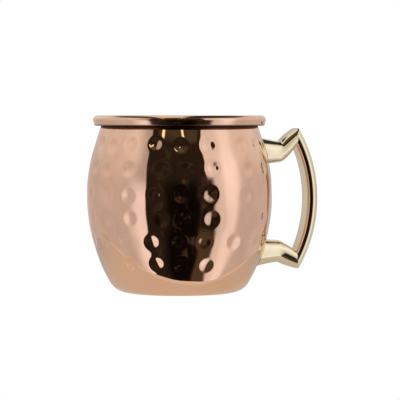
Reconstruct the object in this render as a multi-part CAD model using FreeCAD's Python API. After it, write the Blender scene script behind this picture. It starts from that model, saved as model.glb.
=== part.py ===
"""A barrel-shaped copper mug with a cast brass handle, in millimetres.

The origin is on the floor, at the middle of the base. +Z is up and the handle points towards +X.
The cup is turned from a meridian, which is a chain of tangent arcs. Each wall is the space between
two copies of that meridian at different offsets, so the layers lie face to face.
"""
import FreeCAD, Part
import math
import os

# Cup
HEIGHT = 88.6
BASE_RADIUS = 26.4            # the flat part that stands on the floor
SHELL_THICKNESS = 0.6
LINING_THICKNESS = 0.4
LINING_DROP = 1.0             # the lining ends this far below the top of the rim

# Meridian from the base up to the mouth: each bend's radius, and the wall's lean where it ends.
# The lean is in degrees: -90 is flat along the base, 0 is upright, above 0 closes in, and 90 is
# flat along the top.
BASE_LEAN = -90.0
TOP_LEAN = 90.0
BENDS = [
    (9.8, -30.0),             # corner of the base
    (86.0, 0.0),              # lower belly
    (140.0, 2.8),             # widest part
    (62.5, 15.3),             # upper belly
    (216.0, 19.6),            # shoulder, up to the neck under the rim
    (-10.0, 0.0),             # throat behind the rim, which bends the other way
]
SHOULDER = 4                  # the bend that ends at the neck

# Rolled rim
RIM_RADIUS = 43.35            # widest part of the bead
RIM_DEPTH = 5.1               # top to bottom
RIM_LEAN = 15.0               # its outer face leans in towards its foot, in degrees
RIM_TOP_ROUND = 2.2
RIM_FOOT_ROUND = 0.9
RIM_MOUTH_ROUND = 0.5         # inside edge of the mouth
RIM_GAP = 0.25                # the rolled edge stops this far from the wall

# Handle, in the plane y = 0
GRIP_CENTRE = (3.0, 46.4)     # x and z of the middle of the grip's bow
GRIP_OUTER = 69.1             # radius of its outer side
GRIP_INNER = 63.7             # radius of its finger side
GRIP_WIDTH = 12.5
GRIP_EVEN_ANGLE = 12.4        # up to here above and below its middle, the grip's section is even
GRIP_STEPS = 3                # sections from there to each tip
OUTER_TIP_ANGLE = 31.4        # degrees above or below the middle, on the outer side
INNER_TIP_ANGLE = 25.0        # the same, on the finger side
TIP_WIDTH = 11.6
CORNER_ROUND = 2.5            # nearly half the grip's thickness, so its sides look full-round

# Each leg has a foot, from inside the cup to the knee, and an arm, from the knee to the tip.
# A section is the outside's x and z, the finger side's x and z, and the width. The middle section
# of a foot is where it meets the cup.
UPPER_FOOT = [
    ((34.0, 79.1), (34.0, 62.1), 15.0),
    ((44.0, 77.0), (44.0, 63.7), 13.4),
    ((52.4, 75.2), (53.2, 65.1), 11.5),
]
UPPER_ARM = [
    ((57.2, 79.5), (57.4, 68.8), 11.6),
]
LOWER_FOOT = [
    ((34.0, 10.8), (34.0, 26.6), 15.0),
    ((40.0, 12.2), (40.0, 26.0), 14.0),
    ((51.6, 14.1), (52.6, 24.9), 11.5),
]
LOWER_ARM = [
    ((57.0, 11.9), (57.2, 22.1), 11.6),
]

# Brazed joints
BRAZE_THICKNESS = 0.4
BRAZE_MARGIN = 0.6            # how far the braze shows round each foot

FULL_TURN = 360.0


def along(lean):
    """The wall's upward direction, as (outward, up), where it closes in by this many degrees."""
    return -math.sin(math.radians(lean)), math.cos(math.radians(lean))


def on_bend(centre, radius, lean):
    """The point of a bend where the wall has this lean."""
    outward, up = along(lean)
    return centre[0] + radius * up, centre[1] - radius * outward


def bends():
    """Each bend as its centre, its radius and the leans where it starts and ends."""
    centre = (BASE_RADIUS, BENDS[0][0])
    found = []
    lean = BASE_LEAN
    for radius, end_lean in BENDS:
        if found:
            centre = on_bend(centre, found[-1][1] - radius, lean)
        found.append((centre, radius, lean, end_lean))
        lean = end_lean
    return found


def vector(point):
    """A point (outward, up) in the plane y = 0."""
    return FreeCAD.Vector(point[0], 0, point[1])


def line(start, end):
    return Part.LineSegment(vector(start), vector(end)).toShape()


def arc(start, middle, end):
    return Part.Arc(vector(start), vector(middle), vector(end)).toShape()


def bend_arc(centre, radius, start, end):
    """A bend as an arc, from one lean to another."""
    return arc(*[on_bend(centre, radius, lean) for lean in (start, (start + end) / 2, end)])


def turned(edges):
    """The solid made by turning a closed outline about the mug's axis."""
    face = Part.Face(Part.Wire(edges))
    return face.revolve(FreeCAD.Vector(0, 0, 0), FreeCAD.Vector(0, 0, 1), FULL_TURN)


def filled_cup(offset, top=HEIGHT):
    """Everything inside the wall moved outwards by the offset, from the base up to the top."""
    edges = []
    for centre, radius, start, end in bends():
        edges.append(bend_arc(centre, radius + offset, start, end))
    mouth = (mouth_radius(offset), top)
    foot = (BASE_RADIUS, -offset)
    edges += [
        line(edges_end(offset), mouth),
        line(mouth, (0, top)),
        line((0, top), (0, -offset)),
        line((0, -offset), foot),
    ]
    return turned(edges)


def edges_end(offset):
    """Where the last bend ends, below the mouth."""
    centre, radius, _, lean = bends()[-1]
    return on_bend(centre, radius + offset, lean)


def mouth_radius(offset):
    return edges_end(offset)[0]


def neck_radius():
    """The wall's outer radius just under the rim."""
    centre, radius, _, lean = bends()[SHOULDER]
    return on_bend(centre, radius, lean)[0]


def quarter(corner, inward, up, rounding):
    """Start, middle and end of the rounding of a corner, from its flat side to its upright side."""
    short = rounding * (1 - math.sqrt(0.5))
    return (
        (corner[0] + inward * rounding, corner[1]),
        (corner[0] + inward * short, corner[1] + up * short),
        (corner[0], corner[1] + up * rounding),
    )


def rim_centres():
    """The centres of the bead's roundings, at its top and at its foot. Its leaning face touches
    both roundings."""
    top = (RIM_RADIUS - RIM_TOP_ROUND, HEIGHT - RIM_TOP_ROUND)
    foot_height = HEIGHT - RIM_DEPTH + RIM_FOOT_ROUND
    lean = math.radians(RIM_LEAN)
    inwards = (top[1] - foot_height) * math.tan(lean)
    outwards = (RIM_TOP_ROUND - RIM_FOOT_ROUND) / math.cos(lean)
    return top, (top[0] - inwards + outwards, foot_height)


def rim_ring(inset):
    """The rim's bead, smaller by the inset on every side, in as far as the middle of the wall."""
    top, foot = rim_centres()
    top_round = RIM_TOP_ROUND - inset
    foot_round = RIM_FOOT_ROUND - inset
    inner = mouth_radius(-SHELL_THICKNESS / 2)
    inner_top = (inner, top[1] + top_round)
    inner_foot = (inner, foot[1] - foot_round)
    return turned([
        line(inner_foot, on_bend(foot, foot_round, BASE_LEAN)),
        bend_arc(foot, foot_round, BASE_LEAN, -RIM_LEAN),
        line(on_bend(foot, foot_round, -RIM_LEAN), on_bend(top, top_round, -RIM_LEAN)),
        bend_arc(top, top_round, -RIM_LEAN, TOP_LEAN),
        line(on_bend(top, top_round, TOP_LEAN), inner_top),
        line(inner_top, inner_foot),
    ])


def rim_slit():
    """The gap between the rolled edge and the wall, under the bead."""
    bottom = HEIGHT - RIM_DEPTH
    return Part.makeCylinder(neck_radius() + RIM_GAP, SHELL_THICKNESS, vector((0, bottom)))


def make_rim_wire():
    return rim_ring(SHELL_THICKNESS).cut(filled_cup(0))


def make_cup_shell():
    bead = rim_ring(0).cut(rim_ring(SHELL_THICKNESS)).cut(rim_slit())
    cup = filled_cup(0).fuse(bead).removeSplitter()
    cup = cup.cut(filled_cup(-SHELL_THICKNESS))
    mouth = mouth_radius(-SHELL_THICKNESS)
    rounded = []
    for edge in cup.Edges:
        box = edge.BoundBox
        flat = box.ZLength < RIM_GAP and box.ZMin > HEIGHT - RIM_GAP
        if flat and abs(box.XMax - mouth) < RIM_GAP:
            rounded.append(edge)
    return cup.makeFillet(RIM_MOUTH_ROUND, rounded)


def make_cup_lining():
    top = HEIGHT - LINING_DROP
    inside = filled_cup(-SHELL_THICKNESS - LINING_THICKNESS, top)
    return filled_cup(-SHELL_THICKNESS, top).cut(inside)


def section(outside, finger_side, width):
    """A closed outline across the handle, between two points of its side view: flat sides with
    round corners."""
    middle = (vector(outside) + vector(finger_side)) / 2
    up = vector(outside) - vector(finger_side)
    across = FreeCAD.Vector(0, 1, 0)
    tall = up.Length / 2
    wide = width / 2
    up.normalize()
    turns = [
        quarter((wide, tall), -1, -1, CORNER_ROUND),
        quarter((wide, -tall), -1, 1, CORNER_ROUND)[::-1],
        quarter((-wide, -tall), 1, 1, CORNER_ROUND),
        quarter((-wide, tall), 1, -1, CORNER_ROUND)[::-1],
    ]
    edges = []
    for turn, following in zip(turns, turns[1:] + turns[:1]):
        start, bend, end, rest = [
            middle + across * outward + up * height for outward, height in turn + following[:1]
        ]
        edges.append(Part.Arc(start, bend, end).toShape())
        edges.append(Part.LineSegment(end, rest).toShape())
    return Part.Wire(edges)


def on_grip(radius, angle):
    """A point of the grip's bow, by its angle above the middle in degrees."""
    turn = math.radians(angle)
    return GRIP_CENTRE[0] + radius * math.cos(turn), GRIP_CENTRE[1] + radius * math.sin(turn)


def grip_section(share, side):
    """The grip's section at a share of the way from its even stretch, 0, to a tip, 1."""
    outer_angle = GRIP_EVEN_ANGLE + (OUTER_TIP_ANGLE - GRIP_EVEN_ANGLE) * share
    inner_angle = GRIP_EVEN_ANGLE + (INNER_TIP_ANGLE - GRIP_EVEN_ANGLE) * share
    width = GRIP_WIDTH + (TIP_WIDTH - GRIP_WIDTH) * share
    outer = on_grip(GRIP_OUTER, side * outer_angle)
    inner = on_grip(GRIP_INNER, side * inner_angle)
    return section(outer, inner, width)


def grip_middle():
    """The even stretch of the grip, turned about the centre of its bow."""
    face = Part.Face(grip_section(0, 1))
    return face.revolve(vector(GRIP_CENTRE), FreeCAD.Vector(0, 1, 0), 2 * GRIP_EVEN_ANGLE)


def grip_end(side):
    """The grip from its even stretch to the upper tip, 1, or the lower tip, -1."""
    shares = [step / GRIP_STEPS for step in range(GRIP_STEPS + 1)]
    return loft([grip_section(share, side) for share in shares])


def loft(wires):
    return Part.makeLoft(wires, True)


def leg(foot, arm, side):
    """A leg's foot and arm, up to the tip where it meets the grip."""
    foot_wires = [section(*each) for each in foot]
    arm_wires = [foot_wires[-1]] + [section(*each) for each in arm] + [grip_section(1, side)]
    return [loft(foot_wires), loft(arm_wires)]


def make_handle():
    pieces = [grip_end(1), grip_end(-1)]
    pieces += leg(UPPER_FOOT, UPPER_ARM, 1)
    pieces += leg(LOWER_FOOT, LOWER_ARM, -1)
    return grip_middle().fuse(pieces).cut(filled_cup(BRAZE_THICKNESS))


def make_braze(foot):
    """The braze between the cup and one foot: an even layer that shows a little all round it."""
    outside, finger_side, width = foot[1]
    side = math.copysign(BRAZE_MARGIN, outside[1] - finger_side[1])
    outline = section(
        (0, outside[1] + side),
        (0, finger_side[1] - side),
        width + 2 * BRAZE_MARGIN,
    )
    prism = Part.Face(outline).extrude(FreeCAD.Vector(GRIP_INNER, 0, 0))
    layer = filled_cup(BRAZE_THICKNESS).cut(filled_cup(0))
    return prism.common(layer)


def save(name, shape):
    """Write one sub-part, as its single solid, and print what it measures."""
    if len(shape.Solids) != 1 or not shape.isValid():
        raise ValueError(name + " is not one valid solid")
    shape.Solids[0].exportStep("parts/" + name + ".step")
    print(name, round(shape.Volume, 1), shape.BoundBox)


def main():
    os.makedirs("parts", exist_ok=True)
    save("cup_shell", make_cup_shell())
    save("cup_lining", make_cup_lining())
    save("rim_wire", make_rim_wire())
    save("handle", make_handle())
    save("upper_handle_braze", make_braze(UPPER_FOOT))
    save("lower_handle_braze", make_braze(LOWER_FOOT))


main()
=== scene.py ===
"""Looks of the hammered copper mug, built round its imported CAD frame.

The cup, its lining and the handle are dense meshes on the frame's own outlines, so that polished
metal reflects cleanly. The hammered dimples, the rounded creases of the handle and the brazed
fillets are real mesh. Outlines are worked out in millimetres and built in metres.
"""
import math
import random

import bpy
import numpy as np
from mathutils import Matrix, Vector


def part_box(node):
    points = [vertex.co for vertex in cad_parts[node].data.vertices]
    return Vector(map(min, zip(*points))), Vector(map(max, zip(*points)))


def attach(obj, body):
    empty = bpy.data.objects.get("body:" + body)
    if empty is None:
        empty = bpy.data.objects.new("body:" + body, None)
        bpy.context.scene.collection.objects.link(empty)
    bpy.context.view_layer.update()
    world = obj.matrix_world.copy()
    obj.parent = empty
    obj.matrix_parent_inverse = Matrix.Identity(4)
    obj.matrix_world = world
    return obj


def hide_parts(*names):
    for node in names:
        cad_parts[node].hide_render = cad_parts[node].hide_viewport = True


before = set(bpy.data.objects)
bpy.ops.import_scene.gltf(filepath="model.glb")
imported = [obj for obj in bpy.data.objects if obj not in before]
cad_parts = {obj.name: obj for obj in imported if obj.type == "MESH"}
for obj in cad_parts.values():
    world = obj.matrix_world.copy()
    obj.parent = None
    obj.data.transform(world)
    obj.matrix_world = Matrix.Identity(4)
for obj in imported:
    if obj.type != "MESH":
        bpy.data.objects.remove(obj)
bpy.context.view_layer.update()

MM = 0.001
LEAST_LENGTH = 1e-12          # keeps a division clear of zero

# Cup, as in the CAD model. A bend is its radius and the wall's lean where it ends.
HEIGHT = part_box("cup_shell")[1].z / MM
RIM_RADIUS = 43.35
LINING_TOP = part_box("cup_lining")[1].z / MM
BASE_RADIUS = 26.4
SHELL_THICKNESS = 0.6
LINING_THICKNESS = 0.4
BASE_LEAN = -90.0
TOP_LEAN = 90.0
INSIDE_LEAN = 180.0
BENDS = [(9.8, -30.0), (86.0, 0.0), (140.0, 2.8), (62.5, 15.3), (216.0, 19.6), (-10.0, 0.0)]
SHOULDER = 4                  # the place in BENDS of the bend that ends at the neck
RIM_DEPTH = 5.1
RIM_LEAN = 15.0
RIM_TOP_ROUND = 2.2
RIM_FOOT_ROUND = 0.9
RIM_MOUTH_ROUND = 0.5
RIM_GAP = 0.25                # between the neck and the rolled edge
LINING_LIP = LINING_THICKNESS / 4

# Mesh density
CUP_SEGMENTS = 448
WALL_STEP = 0.68              # distance between rings on a wall that shows
FLOOR_STEP = WALL_STEP * 2    # the same on the lining's floor
HIDDEN_STEP = 9.0             # the same where another piece covers the wall
MEASURE_STEP = 0.05           # distance between the points that the cup's radius is read from
CORNER_STEPS = 8
FLAT_STEPS = 3                # points along half of each flat side of the handle's section
ROUND_STEPS = 12              # points round each of its corners
HANDLE_STEP = 0.4             # distance between rings along the handle
CAP_RINGS = 6                 # rings across the end of a foot

# Hammered dimples
DIMPLE_SEED = 7
DIMPLE_RADIUS = 4.6
DIMPLE_SIZES = (0.93, 1.07)   # the least and the greatest share of that radius
DIMPLE_DEPTH = 0.57
DIMPLE_DEPTHS = (0.92, 1.0)   # the least and the greatest share of that depth
DIMPLE_PITCH = 17.6           # degrees between neighbours in a row
DIMPLE_JITTER = 2.6           # degrees
DIMPLE_DRIFT = 0.6            # how far one sits above or below its row
WAVE_SEED = 11
WAVE_HEIGHT = 0.035           # the wall is also very slightly uneven all over
WAVE_LENGTHS = (13.0, 17.0, 23.0)
WAVES_PER_LENGTH = 4
WAVE_FADE = 8.0               # the waves die out this near the base and the neck
# Each row's height and its dimples nearest to the viewer, in degrees from the viewer's side.
DIMPLE_ROWS = [
    (74.3, (-50, -34, -16, 1, 19.5, 46)),
    (62.7, (-33, -10, 5, 21.2, 48)),
    (50.2, (-32.7, -15, 1, 19, 45)),
    (38.7, (-31.7, -11, 2, 20, 49)),
    (27.6, (-38, -18, -1, 16, 37)),
    (16.1, (-36, -16, 1, 19, 61)),
]

# Handle, as in the CAD model. A section is its outside x and z, its finger side x and z, its width,
# how much of its near and far sides is rounded, and how far the rounding reaches across.
GRIP_CENTRE = (3.0, 46.4)
GRIP_OUTER = 69.1
GRIP_INNER = 63.7
GRIP_WIDTH = 12.5
GRIP_EVEN_ANGLE = 12.4
OUTER_TIP_ANGLE = 31.4
INNER_TIP_ANGLE = 25.0
TIP_WIDTH = 11.8
GRIP_ROUNDING = (0.95, 2.6)
UPPER_FOOT = [
    ((34.0, 79.1), (34.0, 62.1), 15.0, 0.9, 5.8),
    ((44.0, 77.0), (44.0, 63.7), 13.4, 0.9, 5.3),
    ((52.4, 75.2), (53.2, 65.1), 11.3, 0.85, 3.4),
]
UPPER_ARM = ((57.2, 79.5), (57.4, 68.8), 11.6, 0.95, 2.8)
LOWER_FOOT = [
    ((34.0, 10.8), (34.0, 26.6), 15.0, 0.8, 4.8),
    ((40.0, 12.2), (40.0, 26.0), 14.0, 0.85, 4.8),
    ((51.6, 14.1), (52.6, 24.9), 10.6, 0.9, 4.2),
]
LOWER_ARM = ((57.0, 11.9), (57.2, 22.1), 11.2, 0.95, 2.8)
CREASE_SOFTNESS = 0.55        # how far the rounding of a knee or tip spreads
CREASE_SPREAD = 1.5           # the same for the handle's width
CREASE_TAIL = 3               # the rounding is cut off at this many times its spread
BRAZE_THICKNESS = 0.4
FILLET_REACH = 0.9            # how far the braze spreads on the cup and up the foot
FILLET_UNEVEN = 0.3           # as a share of that reach
FILLET_WAVES = ((3, 1.0), (7, 0.0))     # waves round the foot, and the turn they start from
FILLET_STEPS = 6

# Metals. Each is the colour when clean and when aged, the roughness, the share of aged metal, and
# the height of its faint unevenness in metres. A noise is its scale, detail and roughness.
COPPER = ((0.905, 0.59, 0.445), (0.62, 0.36, 0.25), 0.035, 0.25, 4e-7)
PALE_METAL = ((0.95, 0.91, 0.82), (0.78, 0.70, 0.57), 0.32, 0.3, 6e-7)
BRASS = ((0.9, 0.78, 0.57), (0.62, 0.5, 0.3), 0.04, 0.25, 5e-7)
BRAZE_METAL = ((0.82, 0.70, 0.47), (0.45, 0.33, 0.2), 0.12, 0.5, 2e-6)
STEEL = ((0.55, 0.55, 0.56), (0.4, 0.38, 0.36), 0.25, 0.5, 2e-6)
AGEING_NOISE = (38.0, 4.0, 0.6)
AGEING_RANGE = (0.42, 0.75)   # the noise where ageing starts, and where it is full
SCRATCH_NOISE = (420.0, 6.0, 0.75)
SCRATCH_STRETCH = (1.0, 1.0, 9.0)
PEEL_NOISE = (900.0, 3.0, 0.6)

# Finish of the copper near the rim, with painted shade in the groove under it
GROOVE_DEPTH = 1.6            # how far the painted shade and dullness of the groove reach down the neck
GROOVE_DARKEST = GROOVE_DEPTH / 3       # it is fully dark and dull from this far below the rim
GROOVE_CLEAR = RIM_FOOT_ROUND / 4       # and starts to clear this far up the rim's foot
# painted shade: the copper's colour in the groove under the rim, darkened where the rim shades it
GROOVE_SHADE_COLOUR = (0.16, 0.07, 0.045)
GROOVE_HAZE = 0.35
RIM_HAZE = 0.09

# Studio, seen from the mug. The viewer's side is an azimuth, and 0 looks along +Y.
VIEW_AZIMUTH = -16.0
VIEW_DISTANCE = 1.030
VIEW_HEIGHT = 0.090
AIM_HEIGHT = 0.0461
AIM_SIDE = 0.0103
LENS = 184.4
SENSOR = 36.0
CLIP_START = 0.01
UP = Vector((0.0, 0.0, 1.0))
WHITE = (1.0, 1.0, 1.0, 1.0)
BLACK = (0.0, 0.0, 0.0, 1.0)
WALL_COLOUR = (0.62, 0.59, 0.56)
DOME_RADIUS = 0.27
DOME_MIDDLE = 0.045
DOME_SEGMENTS = 96
DOME_RINGS = 48
# Left and right edge, as azimuths from the viewer's side, lowest and highest elevation, softness
# of the edges, all in degrees, and the colour.
PANELS = [
    (-200, 200, 18, 90, 24, (0.80, 0.77, 0.71)),
    (-200, -160, -90, 90, 20, (0.52, 0.52, 0.54)),
    (160, 200, -90, 90, 20, (0.52, 0.52, 0.54)),
    (-50, -30, -90, 56, 20, (0.50, 0.47, 0.44)),
    (-56, -30, -90, 6, 20, (1.0, 1.0, 1.0)),
    (30, 51, -90, 56, 3, (0.80, 0.78, 0.75)),
    (51, 72, -90, 56, 14, (1.0, 1.0, 1.0)),
    (-38.5, 31, -90, 50, 2, (0.022, 0.016, 0.011)),
    (24, 38, -60, 12, 8, (0.045, 0.030, 0.024)),
    (27, 42, -60, 4, 5, (0.014, 0.010, 0.007)),
    (-16, 24, -60, 8, 16, (0.004, 0.003, 0.0025)),
    (24, 43, -60, -20, 7, (0.075, 0.055, 0.03)),
    (-30, 26, 35, 52, 5, (0.060, 0.052, 0.028)),
    (-24, -20.5, 35, 42, 2, (1.8, 1.5, 0.8)),
    (2, 4.5, 37, 42, 1.5, (1.8, 1.5, 0.8)),
]
GAP = (-38, 40, -40, 48, 6)   # the panel, without a colour, where things faintly show in the dark
GAP_GLOW = (0.075, 0.058, 0.034)
GAP_NOISE = (16.0, 3.0, 0.6)
GAP_NOISE_RANGE = (0.5, 0.8)  # the noise where they start to show, and where they show fully
CLOUD_NOISE = (7.0, 2.0, 0.5)
CLOUD_NOISE_RANGE = (0.3, 0.7)
CLOUD_LIGHT = (0.90, 1.10)    # the dome's least and most light, at the ends of that range
# Openings in the top of the dome: from left to right and from the back to the viewer's side, as
# shares of its radius, the least height, and the colour.
OPENINGS = [
    (-0.72, 0.98, -0.80, 0.88, 0.68, (0.16, 0.15, 0.12)),
    (-0.50, 0.90, -0.80, 0.84, 0.72, (0.03, 0.026, 0.02)),
    (-0.30, 0.08, -0.90, 0.50, 0.66, (0.85, 0.80, 0.66)),
]
OPENING_SOFTNESS = 0.08
FLOOR_SIZE = 8.0
FLOOR_LEVEL = -0.0006
PLATE_LEVEL = -0.0003
PLATE_SEGMENTS = 128
PLATE_RADIUS = 0.112
PLATE_BEHIND = 0.069          # the plate's middle is this far behind the mug
PLATE_LEFT = 0.016            # and this far to its left, for the viewer
# The plate glows. Its warm front is painted light bounced from the copper, and its bright edge is a
# painted highlight.
PLATE_FRONT_BOUNCE = (0.66, 0.59, 0.48)
PLATE_BACK = (0.50, 0.49, 0.49)
PLATE_EDGE_HIGHLIGHT = (0.76, 0.69, 0.60)
PLATE_EDGE_WIDTH = 0.012      # as a share of its radius


def along(lean):
    """The wall's upward direction, as (outward, up), where it closes in by this many degrees."""
    return -math.sin(math.radians(lean)), math.cos(math.radians(lean))


def on_bend(centre, radius, lean):
    """The point of a bend where the wall has this lean."""
    outward, up = along(lean)
    return centre[0] + radius * up, centre[1] - radius * outward


def bends():
    """Each bend as its centre, its radius and the leans where it starts and ends."""
    centre = (BASE_RADIUS, BENDS[0][0])
    found = []
    lean = BASE_LEAN
    for radius, end_lean in BENDS:
        if found:
            centre = on_bend(centre, found[-1][1] - radius, lean)
        found.append((centre, radius, lean, end_lean))
        lean = end_lean
    return found


def meridian(offset, step):
    """The wall's outline from the base to the throat, moved outwards by the offset."""
    points = []
    for centre, radius, start, end in bends():
        length = abs((radius + offset) * math.radians(end - start))
        count = max(2, math.ceil(length / step))
        for index in range(count):
            lean = start + (end - start) * index / count
            points.append(on_bend(centre, radius + offset, lean))
    centre, radius, _, lean = bends()[-1]
    points.append(on_bend(centre, radius + offset, lean))
    return points


def neck():
    """The wall's outer radius and height just under the rim."""
    centre, radius, _, lean = bends()[SHOULDER]
    return on_bend(centre, radius, lean)


MERIDIAN = np.array(meridian(0.0, MEASURE_STEP))


def cup_radius(height):
    """The outer radius of the smooth cup at a height, both in millimetres."""
    return np.interp(height, MERIDIAN[:, 1], MERIDIAN[:, 0])


def rounding(centre, radius, start, end):
    """Points along a bend from one lean to another."""
    leans = np.linspace(start, end, CORNER_STEPS + 1)
    return [on_bend(centre, radius, lean) for lean in leans]


def rim_centres():
    """The centres of the bead's roundings, at its top and at its foot."""
    top = (RIM_RADIUS - RIM_TOP_ROUND, HEIGHT - RIM_TOP_ROUND)
    foot_height = HEIGHT - RIM_DEPTH + RIM_FOOT_ROUND
    lean = math.radians(RIM_LEAN)
    inwards = (top[1] - foot_height) * math.tan(lean)
    outwards = (RIM_TOP_ROUND - RIM_FOOT_ROUND) / math.cos(lean)
    return top, (top[0] - inwards + outwards, foot_height)


def stepped(start, end, step):
    """Points along a straight stretch, without its end."""
    length = math.dist(start, end)
    count = max(1, math.ceil(length / step))
    return [
        tuple(start[axis] + (end[axis] - start[axis]) * index / count for axis in (0, 1))
        for index in range(count)
    ]


def shell_outline():
    """The shell's half section from the middle of the base, up the outside, round the rolled rim
    and down the inside. It also says how many of its points come before the neck."""
    outside = meridian(0.0, WALL_STEP)
    before_neck = [point for point in outside if point[1] <= neck()[1]]
    throat = [point for point in outside if point[1] > neck()[1]]
    base = stepped((0.0, 0.0), (BASE_RADIUS, 0.0), HIDDEN_STEP)
    sheet = SHELL_THICKNESS
    mouth = throat[-1][0]
    bottom = HEIGHT - RIM_DEPTH
    inner_mouth = mouth - sheet
    edge = neck()[0] + RIM_GAP
    top, foot = rim_centres()
    mouth_centre = (inner_mouth + RIM_MOUTH_ROUND, HEIGHT - RIM_MOUTH_ROUND)
    rolled = [(mouth, HEIGHT - sheet)]
    rolled += rounding(top, RIM_TOP_ROUND - sheet, TOP_LEAN, -RIM_LEAN)
    rolled += rounding(foot, RIM_FOOT_ROUND - sheet, -RIM_LEAN, BASE_LEAN)
    rolled += [(edge, bottom + sheet)]
    rolled += stepped((edge, bottom), (foot[0], bottom), WALL_STEP)
    rolled += rounding(foot, RIM_FOOT_ROUND, BASE_LEAN, -RIM_LEAN)
    rolled += stepped(rolled[-1], on_bend(top, RIM_TOP_ROUND, -RIM_LEAN), WALL_STEP)[1:]
    rolled += rounding(top, RIM_TOP_ROUND, -RIM_LEAN, TOP_LEAN)
    rolled += stepped(rolled[-1], (mouth_centre[0], HEIGHT), WALL_STEP)[1:]
    rolled += rounding(mouth_centre, RIM_MOUTH_ROUND, TOP_LEAN, INSIDE_LEAN)
    inside = meridian(-SHELL_THICKNESS, HIDDEN_STEP)[::-1]
    outline = base + before_neck + throat + rolled + inside + [(0.0, sheet)]
    return outline, len(base) + len(before_neck)


def lining_outline():
    """The lining's half section, up its hidden side and down the side that shows."""
    hidden = meridian(-SHELL_THICKNESS, HIDDEN_STEP)
    shown = meridian(-SHELL_THICKNESS - LINING_THICKNESS, WALL_STEP)[::-1]
    outer = hidden[-1][0]
    inner = shown[0][0]
    lip_foot = LINING_TOP - LINING_LIP
    top = [(outer, lip_foot), (outer - LINING_LIP, LINING_TOP)]
    top += [(inner + LINING_LIP, LINING_TOP), (inner, lip_foot)]
    floor = stepped((0.0, shown[-1][1]), shown[-1], FLOOR_STEP)[::-1]
    outline = [(0.0, SHELL_THICKNESS)] + hidden + top + shown + floor
    return outline, len(outline) - len(shown) - len(floor)


def turned(outline):
    """Ring points (ring, segment, xyz) of an outline turned about the cup's axis."""
    turns = 2 * np.pi * np.arange(CUP_SEGMENTS) / CUP_SEGMENTS
    outline = np.array(outline)
    x = outline[:, 0, None] * np.cos(turns)
    y = outline[:, 0, None] * np.sin(turns)
    z = np.broadcast_to(outline[:, 1, None], x.shape)
    return np.stack([x, y, z], axis=2)


def dimple_places():
    """Each dimple's centre on the smooth cup, its radius and its depth."""
    chance = random.Random(DIMPLE_SEED)
    places = []
    for height, front in DIMPLE_ROWS:
        span = 360 - (front[-1] - front[0])
        count = round(span / DIMPLE_PITCH)
        rest = []
        for index in range(1, count):
            jitter = chance.uniform(-DIMPLE_JITTER, DIMPLE_JITTER)
            rest.append(front[-1] + span * index / count + jitter)
        for angle in list(front) + rest:
            up = height + chance.uniform(-DIMPLE_DRIFT, DIMPLE_DRIFT)
            turn = math.radians(VIEW_AZIMUTH - 90 + angle)
            radius = float(cup_radius(up))
            centre = (radius * math.cos(turn), radius * math.sin(turn), up)
            size = DIMPLE_RADIUS * chance.uniform(*DIMPLE_SIZES)
            depth = DIMPLE_DEPTH * chance.uniform(*DIMPLE_DEPTHS)
            places.append((centre, size, depth))
    return places


def uneven(wall):
    """Slight waves all over a wall, in a fixed random pattern."""
    chance = random.Random(WAVE_SEED)
    waves = np.zeros(wall.shape[:2])
    for length in WAVE_LENGTHS:
        for _ in range(WAVES_PER_LENGTH):
            direction = np.array([chance.gauss(0, 1) for _ in range(3)])
            direction /= np.linalg.norm(direction)
            turn = wall @ direction * 2 * math.pi / length + chance.uniform(0, 2 * math.pi)
            waves += WAVE_HEIGHT / 2 * np.sin(turn)
    return waves


def hammered(rings, first, last, shrink):
    """Push the rings from first to last, in place, inwards where a dimple is. shrink is how much
    nearer to the axis this wall is than the cup's outside."""
    wall = rings[first:last]
    across = np.diff(np.pad(wall, ((0, 0), (0, 1), (0, 0)), mode="wrap"), axis=1)
    upward = np.gradient(wall, axis=0)
    normal = np.cross(across, upward)
    normal /= np.maximum(np.linalg.norm(normal, axis=2, keepdims=True), LEAST_LENGTH)
    outward = np.sum(normal * wall * (1, 1, 0), axis=2, keepdims=True)
    normal *= np.sign(np.median(outward))
    push = np.zeros(wall.shape[:2])
    for centre, size, depth in dimple_places():
        radial = math.hypot(centre[0], centre[1])
        nearer = np.array(centre) * ((radial - shrink) / radial, (radial - shrink) / radial, 1)
        share = np.sum((wall - nearer) ** 2, axis=2) / size ** 2
        push += depth * np.clip(1 - share, 0, None) ** 2
    heights = wall[:, 0, 2]
    fade = np.clip(np.minimum(heights, neck()[1] - heights) / WAVE_FADE, 0, 1)
    push += uneven(wall) * fade[:, None]
    wall -= normal * push[:, :, None]


def new_object(name, points, faces):
    """A mesh object in metres from points in millimetres."""
    mesh = bpy.data.meshes.new(name)
    mesh.from_pydata((np.asarray(points) * MM).tolist(), [], faces)
    mesh.validate()
    mesh.update()
    mesh.polygons.foreach_set("use_smooth", [True] * len(mesh.polygons))
    made = bpy.data.objects.new(name, mesh)
    bpy.context.scene.collection.objects.link(made)
    return made


def quads(count, segments):
    """Faces between this many rings of points, one after the other, where each ring is closed."""
    faces = []
    for ring in range(count - 1):
        low = ring * segments
        high = low + segments
        for here in range(segments):
            there = (here + 1) % segments
            faces.append((low + here, low + there, high + there, high + here))
    return faces


def capped(name, rings):
    """A closed object from rings of points, where the first and the last ring are one point."""
    count, segments = rings.shape[:2]
    body = rings[1:-1].reshape(-1, 3)
    first = len(body)
    last = first + 1
    points = np.vstack([body, rings[0, 0], rings[-1, 0]])
    faces = quads(count - 2, segments)
    top = (count - 3) * segments
    for here in range(segments):
        there = (here + 1) % segments
        faces.append((first, there, here))
        faces.append((last, top + here, top + there))
    return new_object(name, points, faces)


def make_cup_shell():
    """The copper shell, hammered on its outside."""
    outline, wall_end = shell_outline()
    rings = turned(outline)
    hammered(rings, 0, wall_end, 0.0)
    rings[0] = rings[0].mean(axis=0)
    return capped("hammered_copper_cup", rings)


def make_cup_lining():
    """The pale lining, with the same dimples seen from inside."""
    outline, wall_start = lining_outline()
    rings = turned(outline)
    hammered(rings, wall_start, len(outline) - 1, SHELL_THICKNESS + LINING_THICKNESS)
    return capped("bright_lining", rings)


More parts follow.
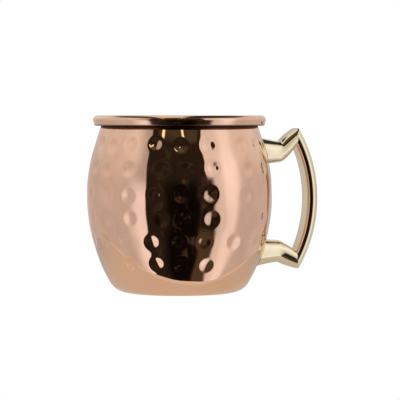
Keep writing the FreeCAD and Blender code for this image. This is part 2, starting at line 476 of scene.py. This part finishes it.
def section(outside, finger_side, width, rounded, reach):
    """A closed ring across the handle, between two points of its side view: flat sides with
    round corners. Its first point is the middle of the outside."""
    outside = np.array((outside[0], 0.0, outside[1]))
    finger_side = np.array((finger_side[0], 0.0, finger_side[1]))
    tall = np.linalg.norm(outside - finger_side) / 2
    wide = width / 2
    quarter = []
    for step in range(FLAT_STEPS):
        quarter.append((tall, (wide - reach) * step / FLAT_STEPS))
    for step in range(ROUND_STEPS):
        turn = math.pi / 2 * step / ROUND_STEPS
        quarter.append((
            tall - tall * rounded * (1 - math.cos(turn)),
            wide - reach * (1 - math.sin(turn)),
        ))
    for step in range(FLAT_STEPS):
        quarter.append((tall * (1 - rounded) * (1 - step / FLAT_STEPS), wide))
    half = quarter + [(-up, across) for up, across in [(0.0, wide)] + quarter[:0:-1]]
    ring = np.array(half + [(-up, -across) for up, across in half])
    up = (outside - finger_side) / (2 * tall)
    middle = (outside + finger_side) / 2
    return middle + ring[:, :1] * up + ring[:, 1:] * np.array((0.0, 1.0, 0.0))


def on_grip(radius, angle):
    """A point of the grip's bow, by its angle above the middle in degrees."""
    turn = math.radians(angle)
    return GRIP_CENTRE[0] + radius * math.cos(turn), GRIP_CENTRE[1] + radius * math.sin(turn)


def grip_section(place):
    """The grip's section at a place from the lower tip, -1, to the upper tip, 1."""
    even = GRIP_EVEN_ANGLE / OUTER_TIP_ANGLE
    share = max(0.0, (abs(place) - even) / (1 - even))
    side = math.copysign(1, place)
    outer = abs(place) * OUTER_TIP_ANGLE
    inner = min(outer, GRIP_EVEN_ANGLE) + (INNER_TIP_ANGLE - GRIP_EVEN_ANGLE) * share
    width = GRIP_WIDTH + (TIP_WIDTH - GRIP_WIDTH) * share
    return on_grip(GRIP_OUTER, side * outer), on_grip(GRIP_INNER, side * inner), width, *GRIP_ROUNDING


def between(sections, share):
    """The section at a share of the way through three sections, on a smooth path."""
    flat = [np.array([*outside, *finger_side, *rest]) for outside, finger_side, *rest in sections]
    before = np.linalg.norm(flat[1] - flat[0])
    after = np.linalg.norm(flat[2] - flat[1])
    knot = before / (before + after)
    first = (share - knot) * (share - 1) / knot
    second = share * (share - 1) / (knot * (knot - 1))
    third = share * (share - knot) / (1 - knot)
    mixed = flat[0] * first + flat[1] * second + flat[2] * third
    return tuple(mixed[:2]), tuple(mixed[2:4]), *mixed[4:]


def span(sections):
    """Rings through three sections, without the last."""
    length = math.dist(sections[0][0], sections[1][0]) + math.dist(sections[1][0], sections[2][0])
    count = math.ceil(length / HANDLE_STEP)
    return [section(*between(sections, index / count)) for index in range(count)]


def handle_rings():
    """All rings of the handle from inside the cup at the lower foot to inside it at the upper
    foot, and the numbers of the rings at its two knees."""
    bow = GRIP_OUTER * math.radians(2 * OUTER_TIP_ANGLE)
    count = math.ceil(bow / HANDLE_STEP)
    grip = [section(*grip_section(2 * index / count - 1)) for index in range(count)]
    lower_foot = span(LOWER_FOOT)
    lower_arm = span([LOWER_FOOT[-1], LOWER_ARM, grip_section(-1.0)])
    upper_arm = span([grip_section(1.0), UPPER_ARM, UPPER_FOOT[-1]])
    upper_foot = span(UPPER_FOOT[::-1]) + [section(*UPPER_FOOT[0])]
    rings = np.array(lower_foot + lower_arm + grip + upper_arm + upper_foot)
    return rings, len(lower_foot), len(rings) - len(upper_foot)


def softened(rings, softness):
    """The rings with their creases rounded, by averaging along the handle."""
    reach = math.ceil(CREASE_TAIL * softness / HANDLE_STEP)
    offsets = np.arange(-reach, reach + 1)
    weights = np.exp(-((offsets * HANDLE_STEP / softness) ** 2) / 2)
    weights /= weights.sum()
    padded = np.pad(rings, ((reach, reach), (0, 0), (0, 0)), mode="edge")
    made = np.zeros_like(rings)
    for offset, weight in zip(offsets, weights):
        made += weight * padded[reach + offset:reach + offset + len(rings)]
    made[:reach] = rings[:reach]
    made[-reach:] = rings[-reach:]
    return made


def outside_cup(points):
    """How far points are outside the smooth cup, measured level."""
    return np.hypot(points[..., 0], points[..., 1]) - cup_radius(points[..., 2])


def trimmed(rings, clear):
    """A foot's rings, from the cup outwards, moved along the handle so that they start this far
    outside the cup."""
    made = np.empty_like(rings)
    count = len(rings)
    for place in range(rings.shape[1]):
        path = rings[:, place]
        distance = outside_cup(path)
        first = int(np.argmax(distance > clear))
        share = (clear - distance[first - 1]) / (distance[first] - distance[first - 1])
        places = np.linspace(first - 1 + share, count - 1, count)
        for axis in range(3):
            made[:, place, axis] = np.interp(places, np.arange(count), path[:, axis])
    return made


def on_cup(points, clear):
    """Points moved along X on to the surface that is this far outside the cup."""
    moved = points.copy()
    reach = cup_radius(points[..., 2]) + clear
    moved[..., 0] = np.sqrt(reach ** 2 - points[..., 1] ** 2)
    return moved


def end_cap(ring, clear):
    """Smaller and smaller rings on the cup's surface, from one point out to the foot's ring."""
    middle = ring.mean(axis=0)
    rings = []
    for step in range(CAP_RINGS):
        rings.append(on_cup(middle + (ring - middle) * step / CAP_RINGS, clear))
    return rings


def make_handle():
    """The handle, and the rings of its lower and upper foot from the braze outwards."""
    sharp, low_knee, high_knee = handle_rings()
    rings = softened(sharp, CREASE_SOFTNESS)
    rings[..., 1] = softened(sharp, CREASE_SPREAD)[..., 1]
    lower = trimmed(rings[:low_knee], BRAZE_THICKNESS)
    upper = trimmed(rings[high_knee:][::-1], BRAZE_THICKNESS)
    body = list(lower) + list(rings[low_knee:high_knee]) + list(upper[::-1])
    body = end_cap(lower[0], BRAZE_THICKNESS) + body + end_cap(upper[0], BRAZE_THICKNESS)[::-1]
    return capped("cast_handle", np.array(body)), lower, upper


def make_braze(name, foot):
    """The braze under one foot, with a hollow fillet all round it."""
    under = end_cap(foot[0], BRAZE_THICKNESS)
    climb = math.ceil(FILLET_REACH / HANDLE_STEP)
    up_the_foot = list(foot[:climb + 1])
    top = up_the_foot[-1]
    middle = foot[0].mean(axis=0)
    root = on_cup(foot[0], 0.0)
    away = foot[0] - middle
    away[:, 0] = 0
    away /= np.linalg.norm(away, axis=1, keepdims=True)
    turns = 2 * np.pi * np.arange(len(away)) / len(away)
    waves = sum(np.sin(count * turns + start) for count, start in FILLET_WAVES)
    reach = FILLET_REACH * (1 + FILLET_UNEVEN * waves / len(FILLET_WAVES))
    edge = on_cup(foot[0] + away * reach[:, None], 0.0)
    fillet = []
    for step in range(1, FILLET_STEPS + 1):
        share = step / FILLET_STEPS
        ring = top * (1 - share) ** 2 + root * 2 * share * (1 - share) + edge * share ** 2
        fillet.append(ring)
    below = [on_cup(middle + (edge - middle) * step / CAP_RINGS, 0.0) for step in range(CAP_RINGS)]
    rings = np.array(under + up_the_foot + fillet + below[::-1])
    return capped(name, rings)


class Nodes:
    """Adds and joins shader nodes in one tree."""

    def __init__(self, tree):
        self.tree = tree

    def add(self, kind, **settings):
        """A new node with these settings."""
        node = self.tree.nodes.new(kind)
        for name, value in settings.items():
            setattr(node, name, value)
        return node

    def join(self, source, target):
        """Link an output to an input."""
        self.tree.links.new(source, target)

    def math(self, operation, first, second=None):
        """The result of an operation on one or two numbers or outputs."""
        node = self.add("ShaderNodeMath", operation=operation)
        for socket, value in zip(node.inputs, (first, second)):
            if value is None:
                continue
            if isinstance(value, (int, float)):
                socket.default_value = value
            else:
                self.join(value, socket)
        return node.outputs[0]

    def smooth(self, value, low, high):
        """From 0 at low to 1 at high, with a smooth change between them. low may be the greater."""
        node = self.add("ShaderNodeMapRange", interpolation_type="SMOOTHSTEP")
        node.inputs["From Min"].default_value = low
        node.inputs["From Max"].default_value = high
        self.join(value, node.inputs["Value"])
        return node.outputs["Result"]

    def noise(self, where, scale, detail, roughness):
        """A noise that varies from place to place."""
        node = self.add("ShaderNodeTexNoise")
        node.inputs["Scale"].default_value = scale
        node.inputs["Detail"].default_value = detail
        node.inputs["Roughness"].default_value = roughness
        self.join(where, node.inputs["Vector"])
        return node.outputs["Fac"]

    def ramp(self, value, start, end, level):
        """From 0 at start to the level at end, with an even change between them."""
        node = self.add("ShaderNodeValToRGB")
        low, high = node.color_ramp.elements
        low.position = start
        low.color = BLACK
        high.position = end
        high.color = (level, level, level, 1.0)
        self.join(value, node.inputs["Fac"])
        return node.outputs["Color"]

    def mix(self, share, first, second):
        """The first colour where the share is 0, and the second where it is 1."""
        node = self.add("ShaderNodeMix", data_type="RGBA")
        for socket, value in zip((node.inputs[0], node.inputs[6], node.inputs[7]), (share, first, second)):
            if isinstance(value, (int, float)):
                socket.default_value = value
            elif isinstance(value, tuple):
                socket.default_value = (*value, 1.0)
            else:
                self.join(value, socket)
        return node.outputs[2]


def polished_metal(name, clean, aged, gloss, wear, peel):
    """Polished metal. clean and aged are its colours, gloss its roughness, wear the share of aged
    metal, and peel the height of its faint unevenness in metres."""
    material = bpy.data.materials.new(name)
    material.use_nodes = True
    nodes = Nodes(material.node_tree)
    shader = material.node_tree.nodes["Principled BSDF"]
    shader.inputs["Metallic"].default_value = 1.0
    where = nodes.add("ShaderNodeTexCoord").outputs["Object"]
    stretched = nodes.add("ShaderNodeMapping")
    stretched.inputs["Scale"].default_value = SCRATCH_STRETCH
    nodes.join(where, stretched.inputs["Vector"])
    scratches = nodes.noise(stretched.outputs["Vector"], *SCRATCH_NOISE)
    share = nodes.ramp(nodes.noise(where, *AGEING_NOISE), *AGEING_RANGE, wear)
    nodes.join(nodes.mix(share, clean, aged), shader.inputs["Base Color"])
    rough = nodes.math("MULTIPLY_ADD", scratches, gloss)
    rough.node.inputs[2].default_value = gloss / 2
    haze = nodes.math("MULTIPLY", share, gloss)
    nodes.join(nodes.math("ADD", rough, haze), shader.inputs["Roughness"])
    bump = nodes.add("ShaderNodeBump")
    bump.inputs["Strength"].default_value = 1.0
    bump.inputs["Distance"].default_value = peel
    nodes.join(nodes.noise(where, *PEEL_NOISE), bump.inputs["Height"])
    nodes.join(bump.outputs["Normal"], shader.inputs["Normal"])
    return material


def polished_copper():
    """Bright copper, with painted shade darkening it in the groove under the rim, where it is also dull,
    and softly brushed on the rim.
    """
    material = polished_metal("polished_copper", *COPPER)
    tree = material.node_tree
    nodes = Nodes(tree)
    shader = tree.nodes["Principled BSDF"]
    place = nodes.add("ShaderNodeSeparateXYZ")
    nodes.join(nodes.add("ShaderNodeTexCoord").outputs["Object"], place.inputs[0])
    height = place.outputs["Z"]
    foot = (HEIGHT - RIM_DEPTH) * MM
    # painted shade: the mask of the groove under the rim, where the colour is darkened and the roughness
    # raised
    groove = nodes.math(
        "MULTIPLY",
        nodes.smooth(height, foot - GROOVE_DEPTH * MM, foot - GROOVE_DARKEST * MM),
        nodes.smooth(height, foot + RIM_FOOT_ROUND * MM, foot + GROOVE_CLEAR * MM),
    )
    rim = nodes.smooth(height, foot, foot + RIM_FOOT_ROUND * MM)
    colour = shader.inputs["Base Color"].links[0].from_socket
    # painted shade: the copper's colour darkened in the groove
    nodes.join(nodes.mix(groove, colour, GROOVE_SHADE_COLOUR), shader.inputs["Base Color"])
    rough = shader.inputs["Roughness"].links[0].from_socket
    rough = nodes.math("ADD", rough, nodes.math("MULTIPLY", rim, RIM_HAZE))
    rough = nodes.math("ADD", rough, nodes.math("MULTIPLY", groove, GROOVE_HAZE))
    nodes.join(rough, shader.inputs["Roughness"])
    return material


def lining_metal():
    """Pale satin metal."""
    return polished_metal("bright_lining_metal", *PALE_METAL)


def polished_brass():
    """Bright pale brass."""
    return polished_metal("polished_brass", *BRASS)


def braze_metal():
    """Brazing metal, yellower and duller than the handle."""
    return polished_metal("braze_metal", *BRAZE_METAL)


def steel_wire():
    """Drawn steel, which the rolled rim covers."""
    return polished_metal("steel_wire", *STEEL)


def finish_piece(piece, material, node):
    """Give a piece its material and body, and hide the CAD node that it stands in for."""
    piece.data.materials.clear()
    piece.data.materials.append(material)
    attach(piece, "root")
    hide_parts(node)


def towards_viewer():
    """The level direction from the mug to the viewer."""
    turn = math.radians(VIEW_AZIMUTH)
    return Vector((math.sin(turn), -math.cos(turn), 0.0))


def viewer_right():
    """The level direction to the viewer's right."""
    turn = math.radians(VIEW_AZIMUTH)
    return Vector((math.cos(turn), math.sin(turn), 0.0))


def make_camera():
    """The viewer's camera."""
    data = bpy.data.cameras.new("camera")
    data.lens = LENS
    data.sensor_width = SENSOR
    data.clip_start = CLIP_START
    camera = bpy.data.objects.new("camera", data)
    bpy.context.scene.collection.objects.link(camera)
    camera.location = towards_viewer() * VIEW_DISTANCE + UP * VIEW_HEIGHT
    aim = viewer_right() * AIM_SIDE + UP * AIM_HEIGHT
    camera.rotation_euler = (aim - camera.location).to_track_quat("-Z", "Y").to_euler()
    bpy.context.scene.camera = camera


def studio_parts(nodes, where):
    """How far a place is to the viewer's right, to the viewer's side and up."""
    parts = []
    for axis in (viewer_right(), towards_viewer(), UP):
        dot = nodes.add("ShaderNodeVectorMath", operation="DOT_PRODUCT")
        dot.inputs[1].default_value = axis
        nodes.join(where, dot.inputs[0])
        parts.append(dot.outputs["Value"])
    return parts


def inside(nodes, value, low, high, soft):
    """1 where the value is between low and high, with soft edges."""
    rise = nodes.smooth(value, low - soft / 2, low + soft / 2)
    fall = nodes.smooth(value, high - soft / 2, high + soft / 2)
    return nodes.math("SUBTRACT", rise, fall)


def on_panel(nodes, azimuth, height, left_edge, right_edge, low, high, soft):
    """1 on a panel of the dome, with soft edges."""
    across = inside(nodes, azimuth, left_edge, right_edge, soft)
    return nodes.math("MULTIPLY", across, inside(nodes, height, low, high, soft))


def make_world():
    """White behind everything, for the viewer."""
    world = bpy.data.worlds.new("white")
    world.use_nodes = True
    bpy.context.scene.world = world
    world.node_tree.nodes["Background"].inputs["Color"].default_value = WHITE


def dome_material():
    """A pale tent with PANELS and OPENINGS painted over it in order."""
    material = bpy.data.materials.new("dome_light")
    material.use_nodes = True
    tree = material.node_tree
    nodes = Nodes(tree)
    tree.nodes.remove(tree.nodes["Principled BSDF"])
    light = nodes.add("ShaderNodeEmission")
    where = nodes.add("ShaderNodeTexCoord").outputs["Object"]
    right, near, up = [
        nodes.math("DIVIDE", part, DOME_RADIUS) for part in studio_parts(nodes, where)
    ]
    azimuth = nodes.math("DEGREES", nodes.math("ARCTAN2", right, near))
    height = nodes.math("DEGREES", nodes.math("ARCSINE", up))
    seen = WALL_COLOUR
    for *place, colour in PANELS:
        seen = nodes.mix(on_panel(nodes, azimuth, height, *place), seen, colour)
    things = nodes.smooth(nodes.noise(where, *GAP_NOISE), *GAP_NOISE_RANGE)
    glow = nodes.math("MULTIPLY", things, on_panel(nodes, azimuth, height, *GAP))
    seen = nodes.mix(glow, seen, GAP_GLOW)
    for left_edge, right_edge, back, front, low, colour in OPENINGS:
        share = nodes.math(
            "MULTIPLY",
            inside(nodes, right, left_edge, right_edge, OPENING_SOFTNESS),
            inside(nodes, near, back, front, OPENING_SOFTNESS),
        )
        share = nodes.math("MULTIPLY", share, nodes.smooth(up, low, low + OPENING_SOFTNESS))
        seen = nodes.mix(share, seen, colour)
    clouds = nodes.add("ShaderNodeMapRange")
    ends = zip(("From Min", "From Max", "To Min", "To Max"), CLOUD_NOISE_RANGE + CLOUD_LIGHT)
    for name, value in ends:
        clouds.inputs[name].default_value = value
    nodes.join(nodes.noise(where, *CLOUD_NOISE), clouds.inputs["Value"])
    nodes.join(clouds.outputs["Result"], light.inputs["Strength"])
    nodes.join(seen, light.inputs["Color"])
    nodes.join(light.outputs["Emission"], tree.nodes["Material Output"].inputs["Surface"])
    return material


def make_dome():
    """The studio that the metal reflects. The viewer looks through it."""
    bpy.ops.mesh.primitive_uv_sphere_add(
        segments=DOME_SEGMENTS, ring_count=DOME_RINGS, radius=DOME_RADIUS, location=UP * DOME_MIDDLE
    )
    dome = bpy.context.object
    dome.name = "dome"
    dome.visible_camera = False
    dome.data.materials.append(dome_material())


def plate_material():
    """A glowing plate that stands in for the lit floor, with painted light bounced from the copper making
    it warmer towards the viewer, and a painted highlight along its edge.
    """
    material = bpy.data.materials.new("plate_light")
    material.use_nodes = True
    tree = material.node_tree
    nodes = Nodes(tree)
    tree.nodes.remove(tree.nodes["Principled BSDF"])
    light = nodes.add("ShaderNodeEmission")
    where = nodes.add("ShaderNodeTexCoord").outputs["Object"]
    near = studio_parts(nodes, where)[1]
    length = nodes.add("ShaderNodeVectorMath", operation="LENGTH")
    nodes.join(where, length.inputs[0])
    # painted light bounced from the copper, warmer towards the viewer
    seen = nodes.mix(nodes.smooth(near, 0.0, PLATE_RADIUS), PLATE_BACK, PLATE_FRONT_BOUNCE)
    edge = PLATE_RADIUS * (1 - PLATE_EDGE_WIDTH)
    # painted highlight along the plate's edge
    rim = nodes.smooth(length.outputs["Value"], edge - PLATE_RADIUS * PLATE_EDGE_WIDTH, edge)
    nodes.join(nodes.mix(rim, seen, PLATE_EDGE_HIGHLIGHT), light.inputs["Color"])
    nodes.join(light.outputs["Emission"], tree.nodes["Material Output"].inputs["Surface"])
    return material


def floor_material():
    """Plain white, whatever the light."""
    material = bpy.data.materials.new("white_floor")
    material.use_nodes = True
    shader = material.node_tree.nodes["Principled BSDF"]
    shader.inputs["Base Color"].default_value = BLACK
    shader.inputs["Specular IOR Level"].default_value = 0.0
    shader.inputs["Emission Color"].default_value = WHITE
    shader.inputs["Emission Strength"].default_value = 1.0
    return material


def make_floor():
    """A plain white floor for the viewer, which the metal doesn't reflect."""
    bpy.ops.mesh.primitive_plane_add(size=FLOOR_SIZE, location=UP * FLOOR_LEVEL)
    floor = bpy.context.object
    floor.name = "floor"
    floor.visible_glossy = False
    floor.visible_diffuse = False
    floor.data.materials.append(floor_material())
    return floor


def make_plate():
    """The round plate under the mug, which the metal reflects and the viewer doesn't see."""
    middle = UP * PLATE_LEVEL - towards_viewer() * PLATE_BEHIND - viewer_right() * PLATE_LEFT
    bpy.ops.mesh.primitive_circle_add(
        vertices=PLATE_SEGMENTS, radius=PLATE_RADIUS, fill_type="NGON", location=middle
    )
    plate = bpy.context.object
    plate.name = "plate"
    plate.visible_camera = False
    plate.data.materials.append(plate_material())
    return plate


def make_ground():
    """What the viewer sees under the mug, and what the metal reflects there."""
    floor = make_floor()
    plate = make_plate()


def make_mug():
    """Every visible piece, and the steel of the wire that the frame's own piece shows."""
    finish_piece(make_cup_shell(), polished_copper(), "cup_shell")
    finish_piece(make_cup_lining(), lining_metal(), "cup_lining")
    handle, lower_foot, upper_foot = make_handle()
    finish_piece(handle, polished_brass(), "handle")
    braze = braze_metal()
    finish_piece(make_braze("lower_braze_fillet", lower_foot), braze, "lower_handle_braze")
    finish_piece(make_braze("upper_braze_fillet", upper_foot), braze, "upper_handle_braze")
    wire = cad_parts["rim_wire"]
    wire.data.materials.clear()
    wire.data.materials.append(steel_wire())


bpy.context.scene.view_settings.view_transform = "Standard"
make_camera()
make_world()
make_dome()
make_ground()
make_mug()
